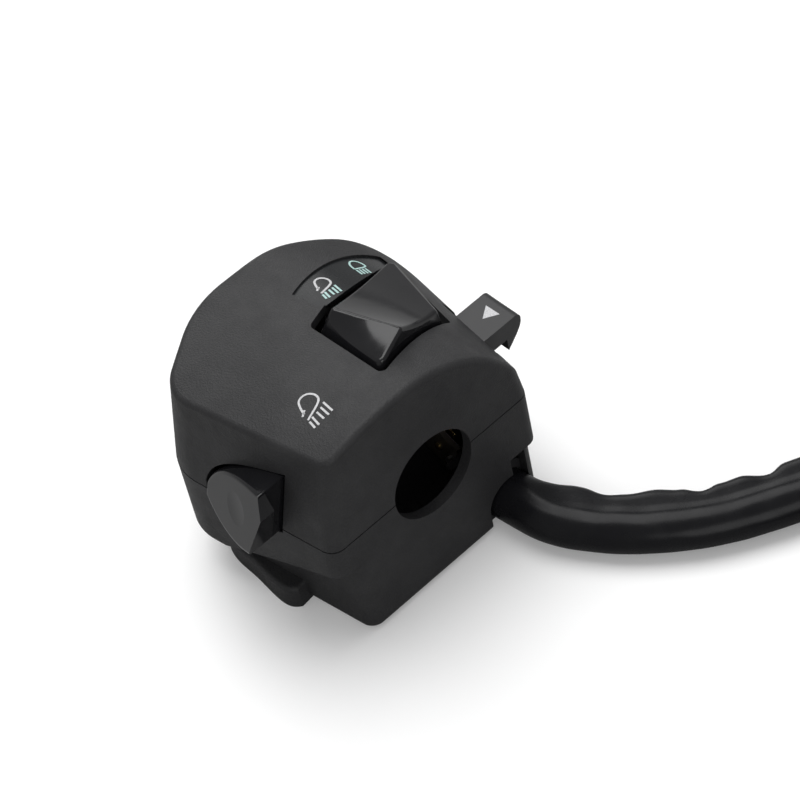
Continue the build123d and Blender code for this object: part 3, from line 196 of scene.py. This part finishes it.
def makeMetal(name, m):
    mat, tree, shader, place = startFinish(name)
    shader.inputs["Metallic"].default_value = 1.0
    spots = addNoise(tree, place, metalNoise["spots"], metalNoise["spotDetail"])
    tree.links.new(addTint(tree, spots, m["dark"], m["light"]), shader.inputs["Base Color"])
    tree.links.new(addSpan(tree, spots, *m["rough"]), shader.inputs["Roughness"])
    stretch = tree.nodes.new("ShaderNodeMapping")
    stretch.inputs["Scale"].default_value = m["lines"]
    tree.links.new(place, stretch.inputs["Vector"])
    lines = addNoise(tree, stretch.outputs["Vector"], metalNoise["lineScale"],
                     metalNoise["lineDetail"])
    addBump(tree, shader, lines, metalNoise["lineStrength"], metalNoise["lineDepth"])
    return mat


# Switch plates: pressed paper board, its layers seen as faint bands
board = {"dark": (0.040, 0.032, 0.026), "light": (0.060, 0.050, 0.042), "rough": (0.42, 0.58),
         "flecks": 1300.0, "fleckDetail": 5.0, "fleckRoughness": 0.7, "bands": 900.0,
         "bandBend": 2.0, "bandStrength": 0.2, "bandDepth": 0.00002}


def makeBoard(b):
    mat, tree, shader, place = startFinish("board_black")
    flecks = addNoise(tree, place, b["flecks"], b["fleckDetail"], b["fleckRoughness"])
    tree.links.new(addTint(tree, flecks, b["dark"], b["light"]), shader.inputs["Base Color"])
    tree.links.new(addSpan(tree, flecks, *b["rough"]), shader.inputs["Roughness"])
    bands = tree.nodes.new("ShaderNodeTexWave")
    bands.inputs["Scale"].default_value = b["bands"]
    bands.inputs["Distortion"].default_value = b["bandBend"]
    tree.links.new(place, bands.inputs["Vector"])
    addBump(tree, shader, bands.outputs["Fac"], b["bandStrength"], b["bandDepth"])
    return mat


# Printed marks: slightly uneven ink
inks = {
    "printWhite": {"dark": (0.38, 0.38, 0.39), "light": (0.58, 0.58, 0.59)},
    "printTeal": {"dark": (0.28, 0.46, 0.44), "light": (0.46, 0.62, 0.60)},
}


inkNoise = {"mottle": 3200.0, "rough": (0.45, 0.6), "strength": 0.2, "depth": 0.00002}


def makeInk(name, ink):
    mat, tree, shader, place = startFinish(name)
    mottle = addNoise(tree, place, inkNoise["mottle"])
    tree.links.new(addTint(tree, mottle, ink["dark"], ink["light"]), shader.inputs["Base Color"])
    tree.links.new(addSpan(tree, mottle, *inkNoise["rough"]), shader.inputs["Roughness"])
    addBump(tree, shader, mottle, inkNoise["strength"], inkNoise["depth"])
    return mat


finishes = {name: makePlastic(name, p) for name, p in plastics.items()}
finishes.update({name: makeMetal(name, m) for name, m in metals.items()})
finishes["board_black"] = makeBoard(board)
finishes.update({name: makeInk(name, ink) for name, ink in inks.items()})


def dressNodes():
    for part in frame["record"]["subparts"]:
        piece = nodes[part["node"]]
        finish = finishes[part["material_slot"]]
        if not piece.data.materials:
            piece.data.materials.append(finish)
        for place in range(len(piece.data.materials)):
            piece.data.materials[place] = finish


dressNodes()
print("finishes on", len(nodes), "nodes")


studioFloor = -0.0324
millimetre = 0.001
waveSeed = (3.7, 1.3)
foldSeed = (9.1, 4.4)

# Cable: thin wires in a soft vinyl sleeve that has flattened and crumpled inside the bend
cable = {
    "route": [
        (-0.0072, 0.0188, -0.0264), (0.0044, 0.0190, -0.0265), (0.0162, 0.0236, -0.0270),
        (0.0282, 0.0324, -0.0270), (0.0386, 0.0442, -0.0270), (0.0452, 0.0564, -0.0270),
        (0.0532, 0.07175, -0.0268), (0.0580, 0.0880, -0.0266),
    ],
    "turns": ((0.060, 190.0), (0.050, 30.0), (0.038, 110.0)),  # radius and sweep, clockwise
    "turnStep": 15.0,
    "tail": 0.008,
    "round": 0.0119,
    "width": 0.0138,
    "height": 0.0107,
    "length": 0.411,
    "diameter": 0.012,
    "lineSteps": 24,
    "startRound": 0.009,  # run that stays round inside the grommet
    "startBlend": 0.012,
    "endRound": 0.010,
    "endBlend": 0.020,
    "bendLength": 0.120,
    "innerEdge": ((0.010, 0.0), (0.016, 0.4), (0.023, 0.9), (0.0295, -0.8), (0.034, -0.2),
                  (0.0415, 1.3), (0.047, 0.5), (0.052, -1.5), (0.0565, 0.2), (0.0615, 0.6),
                  (0.0675, -2.0), (0.072, 0.5), (0.082, 0.9), (0.091, -1.2), (0.100, 0.7),
                  (0.108, -0.4), (0.120, 0.0)),  # run, and extra width in millimetres
    "wrinklePitch": 0.017,
    "wrinkleDepth": 0.0009,
    "foldPitchShare": 0.62,
    "waveShare": 0.9,
    "foldShare": 0.35,
    "pinchPower": 1.4,
    "ridge": {"angle": 0.75, "spread": 0.05, "height": 0.09},
    "hollow": {"angle": 1.35, "spread": 0.08, "height": -0.10},
    "rippleRun": 0.006,
    "rippleTurn": 1.3,
    "rippleHeight": 0.018,
    "sides": 40,
    "step": 0.0008,
}


def routePoints(c):
    points = [Vector(p) for p in c["route"]]
    way = (points[-1] - points[-2]).normalized()
    for radius, sweep in c["turns"]:
        steps = round(sweep / c["turnStep"])
        middle = points[-1] + Vector((way.y, -way.x, 0)) * radius
        for _ in range(steps):
            turn = Matrix.Rotation(-math.radians(sweep / steps), 3, "Z")
            points.append(middle + turn @ (points[-1] - middle))
            way = turn @ way
    points.append(points[-1] + way * c["tail"])
    return points


def nurbsLine(name, points):
    data = bpy.data.curves.new(name, "CURVE")
    data.dimensions = "3D"
    data.resolution_u = cable["lineSteps"]
    spline = data.splines.new("NURBS")
    spline.points.add(len(points) - 1)
    for place, point in zip(spline.points, points):
        place.co = (*point, 1)
    spline.order_u = 3
    spline.use_endpoint_u = True
    line = bpy.data.objects.new(name, data)
    bpy.context.scene.collection.objects.link(line)
    bpy.context.view_layer.update()
    shape = bpy.data.meshes.new_from_object(line)
    path = [v.co.copy() for v in shape.vertices]
    bpy.data.meshes.remove(shape)
    bpy.data.objects.remove(line)
    return path


def evenSteps(path, step):
    nothing = 1e-9
    lengths = [0.0]
    for a, b in zip(path, path[1:]):
        lengths.append(lengths[-1] + (b - a).length)
    count = max(2, round(lengths[-1] / step))
    out = []
    k = 0
    for n in range(count + 1):
        want = lengths[-1] * n / count
        while k < len(path) - 2 and lengths[k + 1] < want:
            k += 1
        share = (want - lengths[k]) / max(lengths[k + 1] - lengths[k], nothing)
        out.append(path[k].lerp(path[k + 1], min(max(share, 0), 1)))
    return out, lengths[-1]


def makeTube(name, rings, closed=True):
    data = bpy.data.meshes.new(name)
    form = bmesh.new()
    rows = [[form.verts.new(p) for p in ring] for ring in rings]
    sides = len(rows[0])
    for a, b in zip(rows, rows[1:]):
        for k in range(sides):
            form.faces.new((a[k], a[(k + 1) % sides], b[(k + 1) % sides], b[k]))
    if closed:
        form.faces.new(rows[0][::-1])
        form.faces.new(rows[-1])
    bmesh.ops.recalc_face_normals(form, faces=form.faces[:])
    form.to_mesh(data)
    form.free()
    for face in data.polygons:
        face.use_smooth = len(face.vertices) == 4
    piece = bpy.data.objects.new(name, data)
    bpy.context.scene.collection.objects.link(piece)
    return piece


def edgeWidth(c, run):
    for (a, low), (b, high) in zip(c["innerEdge"], c["innerEdge"][1:]):
        if a <= run < b:
            share = 0.5 - 0.5 * math.cos(math.pi * (run - a) / (b - a))
            return millimetre * (low + (high - low) * share)
    wave = noise.noise(Vector((run / c["wrinklePitch"], *waveSeed)))
    fold = noise.noise(Vector((run / (c["wrinklePitch"] * c["foldPitchShare"]), *foldSeed)))
    return c["wrinkleDepth"] * (c["waveShare"] * wave + c["foldShare"] * fold)


def foldLine(fold, turned, rise):
    if rise <= 0:
        return 0
    return fold["height"] * math.exp(-(turned - fold["angle"]) ** 2 / fold["spread"])


def freeShare(c, run, length):
    start = min(max((run - c["startRound"]) / c["startBlend"], 0), 1)
    end = min(max((length - c["endRound"] - run) / c["endBlend"], 0), 1)
    free = start * end
    return free * free * (3 - 2 * free)


def sleeveRing(c, middle, way, run, length):
    up = Vector((0, 0, 1))
    side = up.cross(way).normalized()  # left of the run
    up = way.cross(side)
    free = freeShare(c, run, length)
    width = (c["round"] + (c["width"] - c["round"]) * free) / 2
    height = (c["round"] + (c["height"] - c["round"]) * free) / 2
    inner = 1 if run < c["bendLength"] else -1
    extra = free * edgeWidth(c, run)
    ring = []
    for k in range(c["sides"]):
        angle = 2 * math.pi * k / c["sides"]
        along, rise = math.cos(angle) * inner, math.sin(angle)
        pinch = max(along, 0) ** c["pinchPower"]
        turned = math.acos(max(min(along, 1), -1))
        folds = foldLine(c["ridge"], turned, rise) + foldLine(c["hollow"], turned, rise)
        ripple = noise.noise(Vector((run / c["rippleRun"], math.cos(angle) * c["rippleTurn"],
                                     rise * c["rippleTurn"])))
        radius = 1 + free * (folds + c["rippleHeight"] * ripple)
        point = middle + side * (math.cos(angle) * radius * width + inner * pinch * extra)
        point = point + up * (rise * radius * height)
        point.z = max(point.z, studioFloor)
        ring.append(point)
    return ring


def makeSleeve(c):
    path, length = evenSteps(nurbsLine("sleeveLine", routePoints(c)), c["step"])
    rings = []
    for n, middle in enumerate(path):
        before, after = path[max(n - 1, 0)], path[min(n + 1, len(path) - 1)]
        run = length * n / (len(path) - 1)
        rings.append(sleeveRing(c, middle, (after - before).normalized(), run, length))
    sleeve = makeTube("wireSleeve", rings)
    sleeve.data.materials.append(finishes["sleeve_black"])
    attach(sleeve, "housing")
    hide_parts("cable_sleeve", "cable_coil")
    print("sleeve length", round(length, 4))


makeSleeve(cable)
print("cable made")


# Printed pictograms: thin strokes laid on the surface below them
marks = {
    "stroke": 0.00047,
    "lift": 0.00004,
    "inkThickness": 0.00003,
    "step": 0.0002,
    "dropFrom": 0.1,
    "passLamp": {
        "on": "upper_shell", "body": "housing", "middle": (-0.0144, -0.0168),
        "size": 1.0, "bold": 1.0, "ink": "printWhite",
    },
    "lowBeam": {
        "on": "icon_window", "body": "housing", "middle": (-0.0386, 0.0088),
        "size": 0.80, "bold": 1.3, "ink": "printWhite",
    },
    "highBeam": {
        "on": "icon_window", "body": "housing", "middle": (-0.0408, 0.0200),
        "size": 0.64, "bold": 1.4, "ink": "printTeal",
    },
}
# Strokes in millimetres before the mark's size is applied
lampLoop = [(0.85, -1.95), (-1.1, -1.35), (-2.7, -0.5), (-2.95, 1.0), (-2.3, 2.2), (-0.9, 2.9),
            (0.7, 2.6), (1.5, 1.2), (2.1, -0.8), (2.6, -2.5)]
slantRays = [[(3.2, -2.55), (5.3, -2.95)], [(2.8, -1.45), (5.5, -1.95)], [(2.75, -0.05), (5.3, -0.3)],
             [(2.6, 1.25), (5.5, 0.95)], [(2.1, 2.45), (5.4, 2.1)]]
crossBar = [[(0.1, -1.2), (1.0, -2.6)]]
highLoop = [(1.9, -2.5), (-0.6, -2.35), (-2.3, -1.3), (-2.9, 0.1), (-2.2, 1.6), (-0.6, 2.5),
            (1.9, 2.6), (1.9, -2.5)]
levelRays = [[(2.6, -2.3), (5.6, -2.3)], [(2.6, -1.15), (5.6, -1.15)], [(2.6, 0.05), (5.6, 0.05)],
             [(2.6, 1.25), (5.6, 1.25)], [(2.6, 2.4), (5.6, 2.4)]]


def smoothLine(points, times=3, share=0.25):
    rest = 1 - share
    for _ in range(times):
        cut = [points[0]]
        for a, b in zip(points, points[1:]):
            cut += [(rest * a[0] + share * b[0], rest * a[1] + share * b[1]),
                    (share * a[0] + rest * b[0], share * a[1] + rest * b[1])]
        points = cut + [points[-1]]
    return points


def dropFrom(tree, x, y):
    hit, normal, _, _ = tree.ray_cast(Vector((x, y, marks["dropFrom"])), Vector((0, 0, -1)))
    return hit, normal


def surfaceTree(piece):
    return BVHTree.FromObject(piece, bpy.context.evaluated_depsgraph_get())


def layStroke(form, tree, line, width, lift):
    rows = []
    for n, point in enumerate(line):
        a, b = line[max(n - 1, 0)], line[min(n + 1, len(line) - 1)]
        way = Vector((b[0] - a[0], b[1] - a[1])).normalized()
        side = Vector((-way.y, way.x)) * width / 2
        row = []
        for s in (-1, 0, 1):
            hit, normal = dropFrom(tree, point[0] + s * side.x, point[1] + s * side.y)
            if hit is None:
                return
            row.append(form.verts.new(hit + normal * lift))
        rows.append(row)
    for a, b in zip(rows, rows[1:]):
        for k in (0, 1):
            form.faces.new((a[k], a[k + 1], b[k + 1], b[k]))


def stretchLine(line, mark):
    scale = millimetre * mark["size"]
    middle = mark["middle"]
    scaled = [(middle[0] + scale * x, middle[1] + scale * y) for x, y in line]
    out = [scaled[0]]
    for a, b in zip(scaled, scaled[1:]):
        gap = math.dist(a, b)
        parts = max(1, round(gap / marks["step"]))
        out += [(a[0] + (b[0] - a[0]) * k / parts, a[1] + (b[1] - a[1]) * k / parts)
                for k in range(1, parts + 1)]
    return out


def printMark(name, mark, lines):
    tree = surfaceTree(nodes[mark["on"]])
    form = bmesh.new()
    width = marks["stroke"] * mark["size"] * mark["bold"]
    for line in lines:
        layStroke(form, tree, stretchLine(line, mark), width, marks["lift"])
    data = bpy.data.meshes.new(name)
    bmesh.ops.recalc_face_normals(form, faces=form.faces[:])
    form.to_mesh(data)
    form.free()
    data.materials.append(finishes[mark["ink"]])
    piece = bpy.data.objects.new(name, data)
    bpy.context.scene.collection.objects.link(piece)
    thick = piece.modifiers.new("ink", "SOLIDIFY")
    thick.thickness = marks["inkThickness"]
    thick.offset = 1.0
    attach(piece, mark["body"])


printMark("passLampMark", marks["passLamp"], [smoothLine(lampLoop)] + slantRays + crossBar)
printMark("lowBeamMark", marks["lowBeam"], [smoothLine(lampLoop)] + crossBar)
printMark("lowBeamRays", {**marks["lowBeam"], "ink": "printTeal"}, slantRays)
printMark("highBeamMark", marks["highBeam"], [smoothLine(highLoop)] + levelRays)
print("pictograms printed")

# Arrow on the turn lever's pad
arrow = {"corners": ((-0.0181, 0.0353), (-0.0139, 0.0354), (-0.0159, 0.0321)), "lift": 0.00004,
         "rows": 12, "meet": 1e-6}


def printArrow(a):
    tree = surfaceTree(nodes["turn_lever"])
    left, right, tip = (Vector(c) for c in a["corners"])
    form = bmesh.new()
    rows = []
    for n in range(a["rows"] + 1):
        share = n / a["rows"]
        start, end = left.lerp(tip, share), right.lerp(tip, share)
        row = []
        for k in range(a["rows"] + 1):
            spot = start.lerp(end, k / a["rows"])
            hit, normal = dropFrom(tree, spot.x, spot.y)
            row.append(form.verts.new(hit + normal * a["lift"]))
        rows.append(row)
    for first, second in zip(rows, rows[1:]):
        for k in range(a["rows"]):
            form.faces.new((first[k], first[k + 1], second[k + 1], second[k]))
    bmesh.ops.remove_doubles(form, verts=form.verts[:], dist=a["meet"])
    bmesh.ops.recalc_face_normals(form, faces=form.faces[:])
    data = bpy.data.meshes.new("turnArrow")
    form.to_mesh(data)
    form.free()
    data.materials.append(finishes["printWhite"])
    piece = bpy.data.objects.new("turnArrow", data)
    bpy.context.scene.collection.objects.link(piece)
    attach(piece, "lever")


printArrow(arrow)
print("arrow printed")

# Plain white floor and soft studio light
white = (1, 1, 1, 1)
studio = {
    "floorWidth": 8.0,
    "floorDrop": 0.00005,  # under the foot, so that the two faces never flicker
    "floorRough": 0.9,
    "floorTint": (0.86, 0.86, 0.86),
    "floorGlow": 0.10,
    "bounceTint": (0.42, 0.42, 0.42),
    "world": 0.46,
    "backdrop": 1.0,
    "lamps": [
        {"name": "overhead", "place": (-0.25, 0.12, 0.88), "size": 0.8, "power": 7.0},
        {"name": "front", "place": (0.80, -0.35, 0.45), "size": 0.6, "power": 2.4},
        {"name": "backEdge", "place": (-0.75, 0.45, 0.40), "size": 0.5, "power": 1.6},
    ],
    "lampAim": (-0.03, 0, 0),
}


def makeFloor(s):
    bpy.ops.mesh.primitive_plane_add(size=s["floorWidth"], location=(0, 0, studioFloor - s["floorDrop"]))
    floor = bpy.context.active_object
    floor.name = "whiteFloor"
    mat = bpy.data.materials.new("studioWhite")
    mat.use_nodes = True
    tree = mat.node_tree
    seen = tree.nodes["Principled BSDF"]
    seen.inputs["Base Color"].default_value = (*s["floorTint"], 1)
    seen.inputs["Roughness"].default_value = s["floorRough"]
    seen.inputs["Specular IOR Level"].default_value = 0.0
    seen.inputs["Emission Color"].default_value = white
    seen.inputs["Emission Strength"].default_value = s["floorGlow"]
    bounce = tree.nodes.new("ShaderNodeBsdfDiffuse")
    bounce.inputs["Color"].default_value = (*s["bounceTint"], 1)
    rays = tree.nodes.new("ShaderNodeLightPath")
    pick = tree.nodes.new("ShaderNodeMixShader")
    tree.links.new(rays.outputs["Is Camera Ray"], pick.inputs["Fac"])
    tree.links.new(bounce.outputs["BSDF"], pick.inputs[1])
    tree.links.new(seen.outputs["BSDF"], pick.inputs[2])
    tree.links.new(pick.outputs["Shader"], tree.nodes["Material Output"].inputs["Surface"])
    floor.data.materials.append(mat)


def makeLamps(s):
    for lamp in s["lamps"]:
        data = bpy.data.lights.new(lamp["name"], "AREA")
        data.shape = "DISK"
        data.size = lamp["size"]
        data.energy = lamp["power"]
        body = bpy.data.objects.new(lamp["name"], data)
        bpy.context.scene.collection.objects.link(body)
        way = Vector(s["lampAim"]) - Vector(lamp["place"])
        body.location = lamp["place"]
        body.rotation_euler = way.to_track_quat("-Z", "Y").to_euler()


def makeWorld(s):
    world = bpy.data.worlds.new("studioWorld")
    world.use_nodes = True
    tree = world.node_tree
    glow = tree.nodes["Background"]
    glow.inputs["Color"].default_value = white
    glow.inputs["Strength"].default_value = s["world"]
    bright = tree.nodes.new("ShaderNodeBackground")
    bright.inputs["Color"].default_value = white
    bright.inputs["Strength"].default_value = s["backdrop"]
    rays = tree.nodes.new("ShaderNodeLightPath")
    pick = tree.nodes.new("ShaderNodeMixShader")
    tree.links.new(rays.outputs["Is Camera Ray"], pick.inputs["Fac"])
    tree.links.new(glow.outputs["Background"], pick.inputs[1])
    tree.links.new(bright.outputs["Background"], pick.inputs[2])
    tree.links.new(pick.outputs["Shader"], tree.nodes["World Output"].inputs["Surface"])
    bpy.context.scene.world = world


makeFloor(studio)
makeLamps(studio)
makeWorld(studio)
bpy.context.scene.view_settings.view_transform = "Standard"
print("studio lit")

writeSize()
